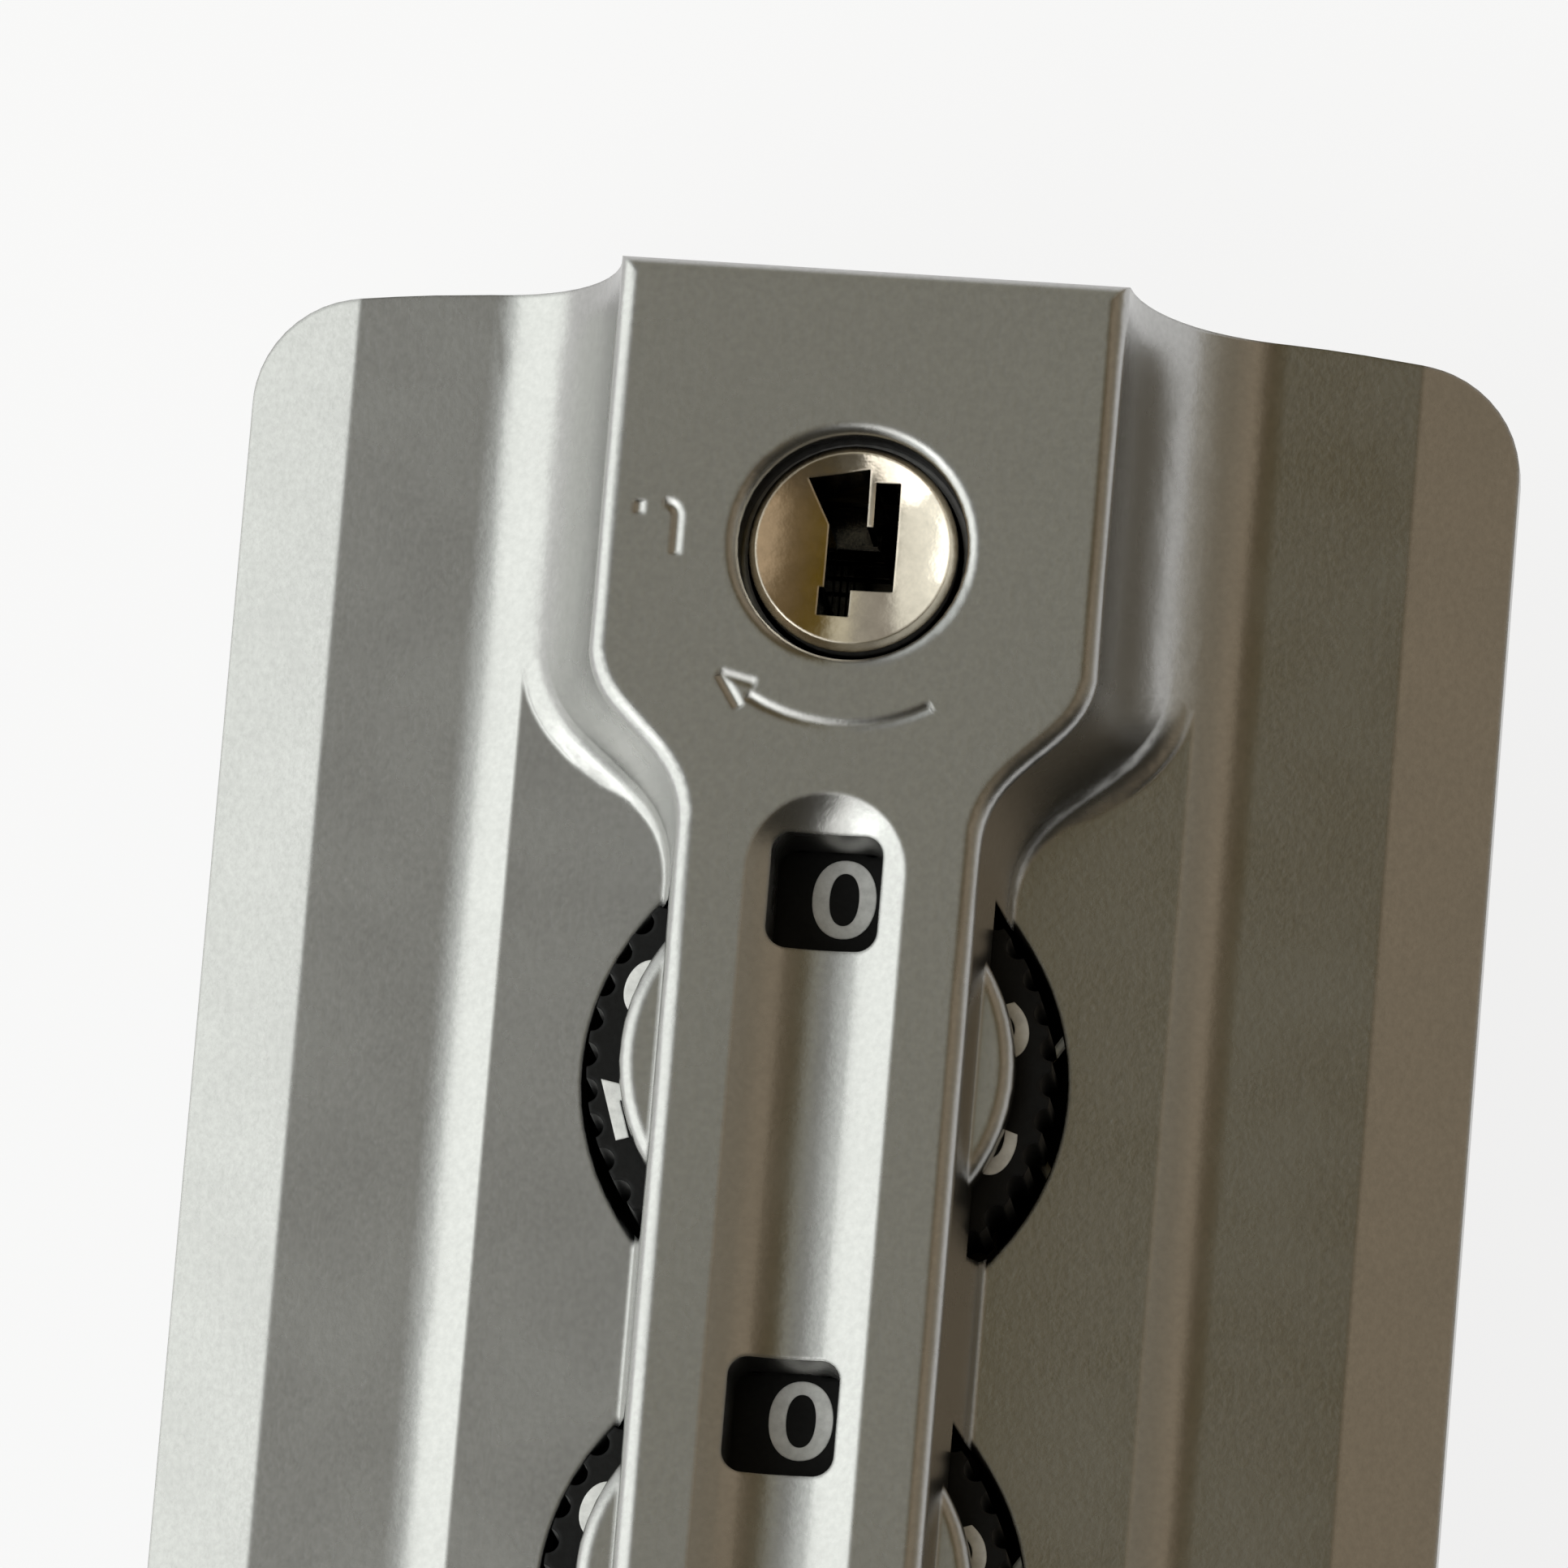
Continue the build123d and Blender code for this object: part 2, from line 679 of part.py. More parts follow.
def lock_bar():
    """Pressed steel bar with a finger for each code cam and a carrier for each zip pin."""
    slot_half = boss_radius + part_gap
    bar_end = dial_rows[0] + bar_half_width
    bar = block(-bar_half_width, bar_half_width, bar_foot_y, bar_end, bar_bottom_z, bar_top_z)
    for y in dial_rows:
        bar -= block(-slot_half, slot_half, y - slot_half - release_travel, y + slot_half, bar_bottom_z, bar_top_z)
        front = finger_front(y)
        bar += block(
            -finger_width / 2, finger_width / 2, front - bar_thickness, front, bar_top_z, bar_top_z + finger_rise)
    for y in socket_rows:
        front = y + carrier_step
        x0 = zip_pin_x - carrier_width / 2
        x1 = zip_pin_x + carrier_width / 2
        bar += block(x0, x1, front, front + carrier_thickness, bar_bottom_z, socket_middle_z + carrier_overhang)
        hole = Cylinder(zip_pin_radius + press_gap, 2 * carrier_thickness)
        bar -= Pos(zip_pin_x, front + carrier_thickness / 2, socket_middle_z) * Rot(90, 0, 0) * hole
    ear_x = spring_x - spring_coil_radius - spring_wire_radius
    bar += block(ear_x, -bar_half_width, ear_y - bar_thickness, ear_y, bar_bottom_z, bar_top_z)
    ear_top = spring_middle_z + spring_coil_radius + spring_wire_radius
    bar += block(ear_x, 2 * spring_x - ear_x, ear_y - bar_thickness, ear_y, bar_top_z, ear_top)
    bar -= rod(0, button_y, bar_bottom_z, bar_top_z, button_screw_radius + press_gap)
    return bar


def zip_pin(y):
    middle = y + carrier_step + carrier_thickness - pin_reach / 2
    return Pos(zip_pin_x, middle, socket_middle_z) * Rot(90, 0, 0) * Cylinder(zip_pin_radius, pin_reach)


def release_button():
    """Ridged slide with a foot that reaches down to the lock bar."""
    z0 = track_z + part_gap
    z1 = top_z + button_proud
    button = rounded_block(button_width, button_length, track_radius, 0, button_y, z0, z1)
    span = (button_ridge_count - 1) * button_ridge_pitch
    for k in range(button_ridge_count):
        y = button_y - span / 2 + k * button_ridge_pitch
        button -= block(
            -button_width / 2, button_width / 2, y - button_ridge_pitch / 4, y + button_ridge_pitch / 4,
            z1 - button_ridge_depth, z1)
    button += block(
        -button_foot_width / 2, button_foot_width / 2,
        button_y - button_foot_length / 2, button_y + button_foot_length / 2, bar_top_z, z0)
    button -= rod(0, button_y, bar_top_z, bar_top_z + button_screw_length, button_screw_radius + press_gap)
    return button


def button_screw():
    z1 = bar_top_z + button_screw_length - part_gap
    head = rod(0, button_y, bar_bottom_z - bar_lift + part_gap, bar_bottom_z, 2 * button_screw_radius)
    return head + rod(0, button_y, bar_bottom_z, z1, button_screw_radius)


def coil(length, turns, radius, wire):
    """Open coil along +Z from the origin, a wire radius clear of each end."""
    height = length - 2 * wire
    path = Helix(height / turns, height, radius)
    section = Plane(path @ 0, z_dir=path % 0) * Circle(wire)
    return Pos(0, 0, wire) * sweep(section, path)


def release_spring():
    turned = Rot(-90, 0, 0) * coil(release_spring_length, release_spring_turns, spring_coil_radius, spring_wire_radius)
    return Pos(spring_x, ear_y, spring_middle_z) * turned


def reset_button():
    z1 = case_floor + part_gap
    button = rod(reset_x, reset_y, reset_inset, z1, reset_radius)
    button += rod(reset_x, reset_y, z1, z1 + reset_flange_height, reset_flange_radius)
    return button + rod(reset_x, reset_y, z1, z1 + reset_flange_height + reset_stem_length, reset_stem_radius)


def reset_spring():
    z0 = case_floor + part_gap + reset_flange_height
    spring = coil(floor_under_z - z0, reset_spring_turns, spring_coil_radius, spring_wire_radius)
    return Pos(reset_x, reset_y, z0) * spring


def rear_case():
    """Moulded tub that closes the back, with bosses for the axles and posts for the screws."""
    case = rounded_block(2 * case_half_width, 2 * case_half_length, case_radius, 0, 0, 0, case_rim_z)
    case -= rounded_block(
        2 * case_inner_x, 2 * (case_half_length - case_wall), case_radius - case_wall / 2,
        0, 0, case_floor, case_rim_z)
    for y in dial_rows:
        case += rod(0, y, case_floor - fit_gap, boss_top_z, boss_radius)
        case -= rod(0, y, case_floor, boss_top_z, axle_radius + press_gap)
    rail_x = bar_half_width - case_wall
    for side in (-1, 1):
        x0 = min(side * rail_x, side * bar_half_width)
        case += block(
            x0, x0 + case_wall, bar_foot_y, dial_rows[0], case_floor - fit_gap, bar_bottom_z - part_gap)
    for x in (-case_screw_x, case_screw_x):
        for y in case_screw_y:
            case += rod(x, y, case_floor - fit_gap, case_rim_z, post_radius)
            case -= rod(x, y, 0, case_rim_z, case_screw_radius + press_gap)
            case -= rod(x, y, 0, case_screw_head_height + press_gap, case_screw_head_radius + press_gap)
    stop_x = spring_x - spring_coil_radius - spring_wire_radius
    case += block(
        stop_x, 2 * spring_x - stop_x, spring_stop_y, spring_stop_y + case_wall, case_floor - fit_gap,
        spring_middle_z + spring_coil_radius)
    for k in range(dial_count - 1):
        y = (dial_rows[k] + dial_rows[k + 1]) / 2
        case += block(
            detent_strip_x - detent_post_width / 2, detent_strip_x + detent_post_width / 2,
            y - detent_post_length / 2, y + detent_post_length / 2, case_floor - fit_gap, case_rim_z)
        slot = detent_strip_thickness / 2 + press_gap
        case -= block(
            detent_strip_x - slot, detent_strip_x + slot, y - detent_post_length, y + detent_post_length,
            strip_z - press_gap, case_rim_z)
    case -= rod(reset_x, reset_y, 0, case_floor, reset_radius + fit_gap)
    return case


def case_screws():
    screws = []
    for x in (-case_screw_x, case_screw_x):
        for y in case_screw_y:
            screw = rod(x, y, 0, case_screw_head_height, case_screw_head_radius)
            screw += rod(x, y, case_screw_head_height, floor_under_z + case_screw_bite, case_screw_radius)
            for dx, dy in ((cross_reach, cross_width / 2), (cross_width / 2, cross_reach)):
                screw -= block(x - dx, x + dx, y - dy, y + dy, 0, case_screw_head_height / 2)
            screws.append(screw)
    return Compound(children=screws)


def all_parts():
    parts = {
        "front_cover": front_cover(),
        "rear_case": rear_case(),
        "case_screws": case_screws(),
        "detent_spring": detent_spring(),
        "cylinder_body": cylinder_body(),
        "cylinder_clip": cylinder_clip(),
        "key_plug": key_plug(),
        "wafers": wafers(),
        "plug_cam": plug_cam(),
        "cam_screw": cam_screw(),
        "lock_bar": lock_bar(),
        "release_button": release_button(),
        "button_screw": button_screw(),
        "release_spring": release_spring(),
        "reset_button": reset_button(),
        "reset_spring": reset_spring(),
    }
    for k, y in enumerate(dial_rows, 1):
        parts[f"number_dial_{k}"] = number_dial(y)
        parts[f"code_cam_{k}"] = code_cam(y)
        parts[f"dial_axle_{k}"] = dial_axle(y)
        parts[f"spring_washer_{k}"] = spring_washer(y)
    for k, y in enumerate(socket_rows, 1):
        parts[f"zip_pin_{k}"] = zip_pin(y)
    return parts


os.makedirs("parts", exist_ok=True)
for node, solid in all_parts().items():
    export_step(solid, f"parts/{node}.step")
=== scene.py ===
from math import cos, radians, sin, sqrt

import bmesh
import bpy
from mathutils import Matrix, Vector


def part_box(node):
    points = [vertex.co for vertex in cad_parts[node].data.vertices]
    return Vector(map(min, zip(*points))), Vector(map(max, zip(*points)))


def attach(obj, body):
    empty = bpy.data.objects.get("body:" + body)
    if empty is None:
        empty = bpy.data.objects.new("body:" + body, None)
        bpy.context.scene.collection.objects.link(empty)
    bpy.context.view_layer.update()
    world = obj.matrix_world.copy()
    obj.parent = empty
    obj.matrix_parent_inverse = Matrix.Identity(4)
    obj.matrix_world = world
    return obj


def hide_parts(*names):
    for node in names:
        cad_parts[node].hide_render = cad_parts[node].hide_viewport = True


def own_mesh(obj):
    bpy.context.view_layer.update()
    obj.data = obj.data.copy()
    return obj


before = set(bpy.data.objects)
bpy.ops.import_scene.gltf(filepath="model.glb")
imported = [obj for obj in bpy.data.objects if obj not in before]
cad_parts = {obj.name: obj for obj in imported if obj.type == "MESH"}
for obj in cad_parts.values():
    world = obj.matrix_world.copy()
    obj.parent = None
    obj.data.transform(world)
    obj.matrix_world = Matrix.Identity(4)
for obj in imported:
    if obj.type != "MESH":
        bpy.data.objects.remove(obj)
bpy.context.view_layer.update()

# Rear case: the tub that closes the back of the lock and carries the dial axles.
# Black plastic from a spark-eroded mould, so it has a fine even grain and a low sheen.
# Four screws pull it against the inside of the front cover.
case_black = (0.030, 0.030, 0.031)
case_rubbed = (0.085, 0.085, 0.086)


def float_sockets(tree, names, in_out):
    """Named number sockets of a node group."""
    for name in names:
        tree.interface.new_socket(name, in_out=in_out, socket_type="NodeSocketFloat")


def set_inputs(node, **values):
    """Sets input sockets by name; an underscore stands for a space."""
    for name, value in values.items():
        node.inputs[name.replace("_", " ")].default_value = value
    return node


def place_node(tree, kind, **values):
    """A node with some of its input sockets set."""
    return set_inputs(tree.nodes.new(kind), **values)


def combine(tree, operation, first, second):
    """A math node on two values; each is a socket or a number."""
    node = tree.nodes.new("ShaderNodeMath")
    node.operation = operation
    for socket, value in zip(node.inputs, (first, second)):
        if isinstance(value, float):
            socket.default_value = value
        else:
            tree.links.new(value, socket)
    return node.outputs["Value"]


def spread(tree, source, low, high):
    """Maps a noise value from its usual band to the range between two sockets."""
    noise_low = 0.3
    noise_high = 0.7
    node = place_node(tree, "ShaderNodeMapRange", From_Min=noise_low, From_Max=noise_high)
    tree.links.new(source, node.inputs["Value"])
    tree.links.new(low, node.inputs["To Min"])
    tree.links.new(high, node.inputs["To Max"])
    return node.outputs["Result"]


def surface_grain_group():
    """Fine grain and larger soft patches: a height, a roughness and a tone over the surface."""
    tree = bpy.data.node_groups.new("surface_grain", "ShaderNodeTree")
    names = ["Grain Scale", "Patch Scale", "Roughness Low", "Roughness High", "Tone Low", "Tone High"]
    float_sockets(tree, names, "INPUT")
    float_sockets(tree, ["Height", "Roughness", "Tone"], "OUTPUT")
    given = tree.nodes.new("NodeGroupInput").outputs
    result = tree.nodes.new("NodeGroupOutput").inputs
    place = tree.nodes.new("ShaderNodeTexCoord").outputs["Object"]
    grain = place_node(tree, "ShaderNodeTexNoise", Detail=3.0, Roughness=0.6)
    patch = place_node(tree, "ShaderNodeTexNoise", Detail=4.0, Roughness=0.55)
    for noise, scale in ((grain, "Grain Scale"), (patch, "Patch Scale")):
        tree.links.new(place, noise.inputs["Vector"])
        tree.links.new(given[scale], noise.inputs["Scale"])
    tree.links.new(grain.outputs["Fac"], result["Height"])
    roughness = spread(tree, patch.outputs["Fac"], given["Roughness Low"], given["Roughness High"])
    tone = spread(tree, grain.outputs["Fac"], given["Tone Low"], given["Tone High"])
    tree.links.new(roughness, result["Roughness"])
    tree.links.new(tone, result["Tone"])
    return tree


def edge_rub_group():
    """Mask of the outer edges that hands and luggage rub, and the normal of the softened edges."""
    edge_begins = 0.99
    edge_full = 0.85
    tree = bpy.data.node_groups.new("edge_rub", "ShaderNodeTree")
    float_sockets(tree, ["Radius", "Break Scale"], "INPUT")
    float_sockets(tree, ["Mask"], "OUTPUT")
    tree.interface.new_socket("Normal", in_out="OUTPUT", socket_type="NodeSocketVector")
    given = tree.nodes.new("NodeGroupInput").outputs
    result = tree.nodes.new("NodeGroupOutput").inputs
    rounded = tree.nodes.new("ShaderNodeBevel")
    tree.links.new(given["Radius"], rounded.inputs["Radius"])
    tree.links.new(rounded.outputs["Normal"], result["Normal"])
    alike = tree.nodes.new("ShaderNodeVectorMath")
    alike.operation = "DOT_PRODUCT"
    tree.links.new(rounded.outputs["Normal"], alike.inputs[0])
    tree.links.new(tree.nodes.new("ShaderNodeNewGeometry").outputs["Normal"], alike.inputs[1])
    edge = place_node(tree, "ShaderNodeMapRange", From_Min=edge_begins, From_Max=edge_full)
    tree.links.new(alike.outputs["Value"], edge.inputs["Value"])
    broken = place_node(tree, "ShaderNodeTexNoise", Detail=4.0)
    tree.links.new(tree.nodes.new("ShaderNodeTexCoord").outputs["Object"], broken.inputs["Vector"])
    tree.links.new(given["Break Scale"], broken.inputs["Scale"])
    patchy = combine(tree, "MULTIPLY", edge.outputs["Result"], broken.outputs["Fac"])
    tree.links.new(patchy, result["Mask"])
    return tree


def gap_dirt_group():
    """Mask of narrow gaps and deep corners that light hardly reaches, for painted shade in the colour."""
    tree = bpy.data.node_groups.new("gap_shade", "ShaderNodeTree")
    float_sockets(tree, ["Distance", "Black Below", "Clean Above"], "INPUT")
    float_sockets(tree, ["Mask"], "OUTPUT")
    given = tree.nodes.new("NodeGroupInput").outputs
    result = tree.nodes.new("NodeGroupOutput").inputs
    # Painted shade: ambient occlusion darkens the colour where the surface is hemmed in by nearby
    # surfaces.
    openness = tree.nodes.new("ShaderNodeAmbientOcclusion")
    openness.samples = 8
    tree.links.new(given["Distance"], openness.inputs["Distance"])
    painted_shade = place_node(tree, "ShaderNodeMapRange", To_Min=1.0, To_Max=0.0)
    tree.links.new(openness.outputs["AO"], painted_shade.inputs["Value"])
    tree.links.new(given["Black Below"], painted_shade.inputs["From Min"])
    tree.links.new(given["Clean Above"], painted_shade.inputs["From Max"])
    tree.links.new(painted_shade.outputs["Result"], result["Mask"])
    return tree


surface_grain = surface_grain_group()
edge_rub = edge_rub_group()
gap_shade = gap_dirt_group()


def place_group(tree, group, **values):
    """A node of a shared effect with its input sockets set."""
    node = tree.nodes.new("ShaderNodeGroup")
    node.node_tree = group
    return set_inputs(node, **values)


def blend_colours(tree, kind, factor, first, second):
    """A colour mix; each colour is a socket or a plain colour."""
    node = tree.nodes.new("ShaderNodeMix")
    node.data_type = "RGBA"
    node.blend_type = kind
    colour_inputs = [s for s in node.inputs if s.type == "RGBA"]
    for socket, colour in zip(colour_inputs, (first, second)):
        if isinstance(colour, tuple):
            socket.default_value = (*colour, 1.0)
        else:
            tree.links.new(colour, socket)
    if isinstance(factor, float):
        node.inputs["Factor"].default_value = factor
    else:
        tree.links.new(factor, node.inputs["Factor"])
    return [s for s in node.outputs if s.type == "RGBA"][0]


def grained_finish(name, colour, rubbed, grain, rub, bump_height):
    """A finish with grain, patches of gloss and soft, rubbed edges; gives the material and its shader."""
    material = bpy.data.materials.new(name)
    material.use_nodes = True
    tree = material.node_tree
    shader = tree.nodes["Principled BSDF"]
    grained = place_group(tree, surface_grain, **grain)
    rubbed_at = place_group(tree, edge_rub, **rub)
    toned = blend_colours(tree, "MULTIPLY", 1.0, colour, grained.outputs["Tone"])
    final = blend_colours(tree, "MIX", rubbed_at.outputs["Mask"], toned, rubbed)
    tree.links.new(final, shader.inputs["Base Color"])
    tree.links.new(grained.outputs["Roughness"], shader.inputs["Roughness"])
    bump = place_node(tree, "ShaderNodeBump", Distance=bump_height)
    tree.links.new(grained.outputs["Height"], bump.inputs["Height"])
    tree.links.new(rubbed_at.outputs["Normal"], bump.inputs["Normal"])
    tree.links.new(bump.outputs["Normal"], shader.inputs["Normal"])
    return material, shader


def dirty_gaps(material, shader, shade_colour, **painted_shade):
    """Paints shade over the colour of a finish in its narrow gaps and deep corners."""
    tree = material.node_tree
    shaded = place_group(tree, gap_shade, **painted_shade)
    unshaded = shader.inputs["Base Color"].links[0].from_socket
    final = blend_colours(tree, "MIX", shaded.outputs["Mask"], unshaded, shade_colour)
    tree.links.new(final, shader.inputs["Base Color"])


def dress(material, *nodes):
    """Gives a finish to CAD nodes."""
    for node in nodes:
        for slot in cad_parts[node].material_slots:
            slot.material = material


moulded_case, shader = grained_finish(
    "moulded_case", case_black, case_rubbed,
    grain=dict(Grain_Scale=5200.0, Patch_Scale=260.0, Roughness_Low=0.46, Roughness_High=0.62,
               Tone_Low=0.75, Tone_High=1.2),
    rub=dict(Radius=0.00025, Break_Scale=900.0), bump_height=0.00002)
shader.inputs["Specular IOR Level"].default_value = 0.4
dress(moulded_case, "rear_case")

# Steel works inside the case: axles, dished washers, detent strip, lock bar, screws and pins.
# Cold-rolled and drawn steel with a bright zinc plate, slightly patchy from the plating bath.
# The axles press into bosses of the case, and the bar slides on two rails below the dials.
steel_grey = (0.52, 0.52, 0.51)
steel_rubbed = (0.66, 0.66, 0.65)
plated_steel, shader = grained_finish(
    "plated_steel", steel_grey, steel_rubbed,
    grain=dict(Grain_Scale=3800.0, Patch_Scale=420.0, Roughness_Low=0.22, Roughness_High=0.40,
               Tone_Low=0.82, Tone_High=1.1),
    rub=dict(Radius=0.00015, Break_Scale=1500.0), bump_height=0.000006)
shader.inputs["Metallic"].default_value = 1.0
dials = ("1", "2", "3")
dress(plated_steel, *("dial_axle_" + k for k in dials), *("spring_washer_" + k for k in dials))
dress(plated_steel, "detent_spring", "lock_bar", "zip_pin_1", "zip_pin_2")
dress(plated_steel, "cylinder_clip", "plug_cam", "cam_screw", "button_screw")

# Coil springs: the long one returns the release slide, and the short one holds the reset button out.
# Drawn steel wire, wound open and plated like the other steel pieces.
# Each stands between a moving piece and a fixed stop, and here rides with the housing at its rest length.
wire_radius = 0.00022
wire_roundness = 3
steps_per_turn = 32
along_y = 1
along_z = 2
release_turns = 9
release_travel = 0.0036
reset_turns = 6
reset_travel = 0.0012


def add_object(name, data):
    """A new object in the scene."""
    made = bpy.data.objects.new(name, data)
    bpy.context.scene.collection.objects.link(made)
    return made


def curve_mesh(curve):
    """The mesh of a curve, which is then dropped."""
    holder = add_object(curve.name, curve)
    bpy.context.view_layer.update()
    mesh = bpy.data.meshes.new_from_object(holder.evaluated_get(bpy.context.evaluated_depsgraph_get()))
    bpy.data.objects.remove(holder)
    bpy.data.curves.remove(curve)
    return mesh


def coil_points(node, along, turns):
    """Points of a coil that fills the box of its solid, with its axis along X, Y or Z (0, 1, 2)."""
    low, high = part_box(node)
    middle = (low + high) / 2
    first, second = [k for k in range(3) if k != along]
    radius = (high[first] - low[first]) / 2 - wire_radius
    start = low[along] + wire_radius
    rise = high[along] - low[along] - 2 * wire_radius
    points = []
    for step in range(turns * steps_per_turn + 1):
        turn = radians(360 * step / steps_per_turn)
        point = middle.copy()
        point[first] += radius * cos(turn)
        point[second] += radius * sin(turn)
        point[along] = start + rise * step / (turns * steps_per_turn)
        points.append(point)
    return points


def coil_spring(name, node, along, turns):
    """A wire coil as a mesh, in the place of its solid."""
    points = coil_points(node, along, turns)
    curve = bpy.data.curves.new(name, "CURVE")
    curve.dimensions = "3D"
    curve.bevel_depth = wire_radius
    curve.bevel_resolution = wire_roundness
    curve.use_fill_caps = True
    line = curve.splines.new("POLY")
    line.points.add(len(points) - 1)
    for vertex, point in zip(line.points, points):
        vertex.co = (*point, 1)
    mesh = curve_mesh(curve)
    mesh.shade_smooth()
    mesh.materials.clear()
    mesh.materials.append(plated_steel)
    return add_object(name, mesh)


springs = [("release_coil", "release_spring", along_y, release_turns, "release_slide", release_travel),
           ("reset_coil", "reset_spring", along_z, reset_turns, "reset_press", reset_travel)]
for name, node, along, turns, joint, travel in springs:
    coil = coil_spring(name, node, along, turns)
    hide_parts(node)
    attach(coil, "housing")
    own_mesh(coil)

# Code cams and wafers: the pieces that hold the code and the cut of the key.
# Stamped from brass sheet, so the faces are smooth and the sheared edges brighter.
# Each cam sits on the square drive of its dial, and each wafer slides in a slot of the plug.
brass_yellow = (0.60, 0.43, 0.17)
brass_sheared = (0.80, 0.63, 0.32)
# Painted shade: the brass goes near black in its narrow gaps and between the wafers.
brass_shade = (0.010, 0.008, 0.005)
stamped_brass, shader = grained_finish(
    "stamped_brass", brass_yellow, brass_sheared,
    grain=dict(Grain_Scale=3000.0, Patch_Scale=350.0, Roughness_Low=0.20, Roughness_High=0.38,
               Tone_Low=0.85, Tone_High=1.08),
    rub=dict(Radius=0.00015, Break_Scale=1500.0), bump_height=0.000006)
shader.inputs["Metallic"].default_value = 1.0
dirty_gaps(stamped_brass, shader, brass_shade, Distance=0.003, Black_Below=0.3, Clean_Above=0.7)
dress(stamped_brass, "wafers", *("code_cam_" + k for k in dials))

# Number dials: black moulded discs with a knurled rim that stands out on both sides of the rib.
# Hard plastic, polished a little on the knurls by fingers.
# Each turns on its own steel axle and shows one figure in the window above it.
dial_black = (0.006, 0.006, 0.006)
dial_rubbed = (0.022, 0.022, 0.023)
moulded_dial, shader = grained_finish(
    "moulded_dial", dial_black, dial_rubbed,
    grain=dict(Grain_Scale=4200.0, Patch_Scale=500.0, Roughness_Low=0.50, Roughness_High=0.65,
               Tone_Low=0.7, Tone_High=1.25),
    rub=dict(Radius=0.0002, Break_Scale=1800.0), bump_height=0.000012)
shader.inputs["Specular IOR Level"].default_value = 0.2
dress(moulded_dial, *("number_dial_" + k for k in dials))

# Figures: the numbers 0 to 9 round each dial face, tops outward, counting clockwise.
# White ink, pad printed in one thin film, with a slightly uneven cover.
# They are on the dial, so they turn with it.
figure_white = (0.95, 0.95, 0.93)
figure_worn = (0.65, 0.65, 0.63)
figure_count = 10
figure_height = 0.00255
figure_width = 0.00205
figure_weight = 0.014
figure_stretch = 1.25
figure_reach = 0.00553
figure_film = 0.00003
figure_curve_steps = 10
figure_lead = radians(3.8)


def figure_outline(text):
    """One figure as a flat mesh, at the size of the font."""
    curve = bpy.data.curves.new("figure", "FONT")
    curve.body = text
    curve.offset = figure_weight
    curve.resolution_u = figure_curve_steps
    return curve_mesh(curve)


def lay_figure(bm, text, turn, centre):
    """Adds one figure to the film of a dial, at its printed size and turned to its place."""
    mesh = figure_outline(text)
    known = set(bm.verts)
    bm.from_mesh(mesh)
    fresh = [v for v in bm.verts if v not in known]
    low_x = min(v.co.x for v in fresh)
    high_x = max(v.co.x for v in fresh)
    low_y = min(v.co.y for v in fresh)
    high_y = max(v.co.y for v in fresh)
    middle = Vector(((low_x + high_x) / 2, (low_y + high_y) / 2, 0))
    tall = figure_height / (high_y - low_y)
    wide = min(figure_width / (high_x - low_x), tall * figure_stretch)
    sized = Matrix.Diagonal((wide, tall, 1, 1)) @ Matrix.Translation(-middle)
    upright = Matrix.Rotation(figure_lead, 4, "Z")
    outward = Matrix.Translation((0, figure_reach, 0))
    placed = Matrix.Translation(centre) @ Matrix.Rotation(turn, 4, "Z") @ outward
    bmesh.ops.transform(bm, matrix=placed @ upright @ sized, verts=fresh)
    bpy.data.meshes.remove(mesh)


def figure_ring(name, node):
    """The ten figures of one dial as one printed film on its face."""
    low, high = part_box(node)
    centre = Vector(((low.x + high.x) / 2, (low.y + high.y) / 2, high.z))
    bm = bmesh.new()
    for figure in range(figure_count):
        turn = -figure_lead - radians(360 / figure_count * figure)
        lay_figure(bm, str(figure), turn, centre)
    film = bmesh.ops.extrude_face_region(bm, geom=bm.faces[:])
    top = [v for v in film["geom"] if isinstance(v, bmesh.types.BMVert)]
    bmesh.ops.translate(bm, verts=top, vec=(0, 0, figure_film))
    bmesh.ops.recalc_face_normals(bm, faces=bm.faces[:])
    mesh = bpy.data.meshes.new(name)
    bm.to_mesh(mesh)
    bm.free()
    mesh.shade_flat()
    return add_object(name, mesh)


printed_white, shader = grained_finish(
    "printed_white", figure_white, figure_worn,
    grain=dict(Grain_Scale=2600.0, Patch_Scale=900.0, Roughness_Low=0.45, Roughness_High=0.6,
               Tone_Low=0.82, Tone_High=1.08),
    rub=dict(Radius=0.00008, Break_Scale=2500.0), bump_height=0.000004)
for k in dials:
    ring = figure_ring("figures_" + k, "number_dial_" + k)
    ring.data.materials.append(printed_white)
    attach(ring, "dial_" + k)

# Key cylinder: the fixed barrel that the plug turns in.
# Die-cast zinc left bare inside the case, so it is grey and a little cloudy.
# A flat steel fork holds it under the cover.
zinc_grey = (0.40, 0.40, 0.41)
zinc_rubbed = (0.58, 0.58, 0.58)
cast_zinc, shader = grained_finish(
    "cast_zinc", zinc_grey, zinc_rubbed,
    grain=dict(Grain_Scale=2400.0, Patch_Scale=300.0, Roughness_Low=0.38, Roughness_High=0.55,
               Tone_Low=0.8, Tone_High=1.1),
    rub=dict(Radius=0.0002, Break_Scale=1200.0), bump_height=0.00001)
shader.inputs["Metallic"].default_value = 1.0
dress(cast_zinc, "cylinder_body")
